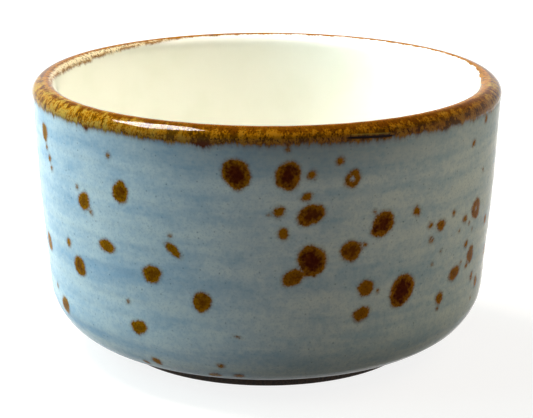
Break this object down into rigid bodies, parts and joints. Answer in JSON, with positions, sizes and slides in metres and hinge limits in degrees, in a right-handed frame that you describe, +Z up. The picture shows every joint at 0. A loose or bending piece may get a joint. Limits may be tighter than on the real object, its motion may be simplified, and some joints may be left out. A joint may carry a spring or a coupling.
{
  "type": "sauce dish",
  "caption": "Round stoneware sauce dish with a near-straight wall, rolled lip, rounded heel and bare foot ring, glazed blue-grey outside, cream inside and brown at the rim.",
  "frame": {"origin": "middle of the foot ring's bearing face, on the table", "axes": "+Z up along the dish's axis; -Y towards the side that the picture shows, +X to its right"},
  "size_m": [0.07, 0.07, 0.041],
  "materials": {
    "fired_clay": "matte",
    "blue_glaze": "gloss",
    "brown_glaze": "gloss",
    "cream_glaze": "gloss"
  },
  "bodies": {
    "root": {"stoneware_body": "fired_clay", "outer_glaze": "blue_glaze", "rim_glaze": "brown_glaze", "inner_glaze": "cream_glaze", "foot_well_glaze": "blue_glaze"}
  },
  "joints": []
}
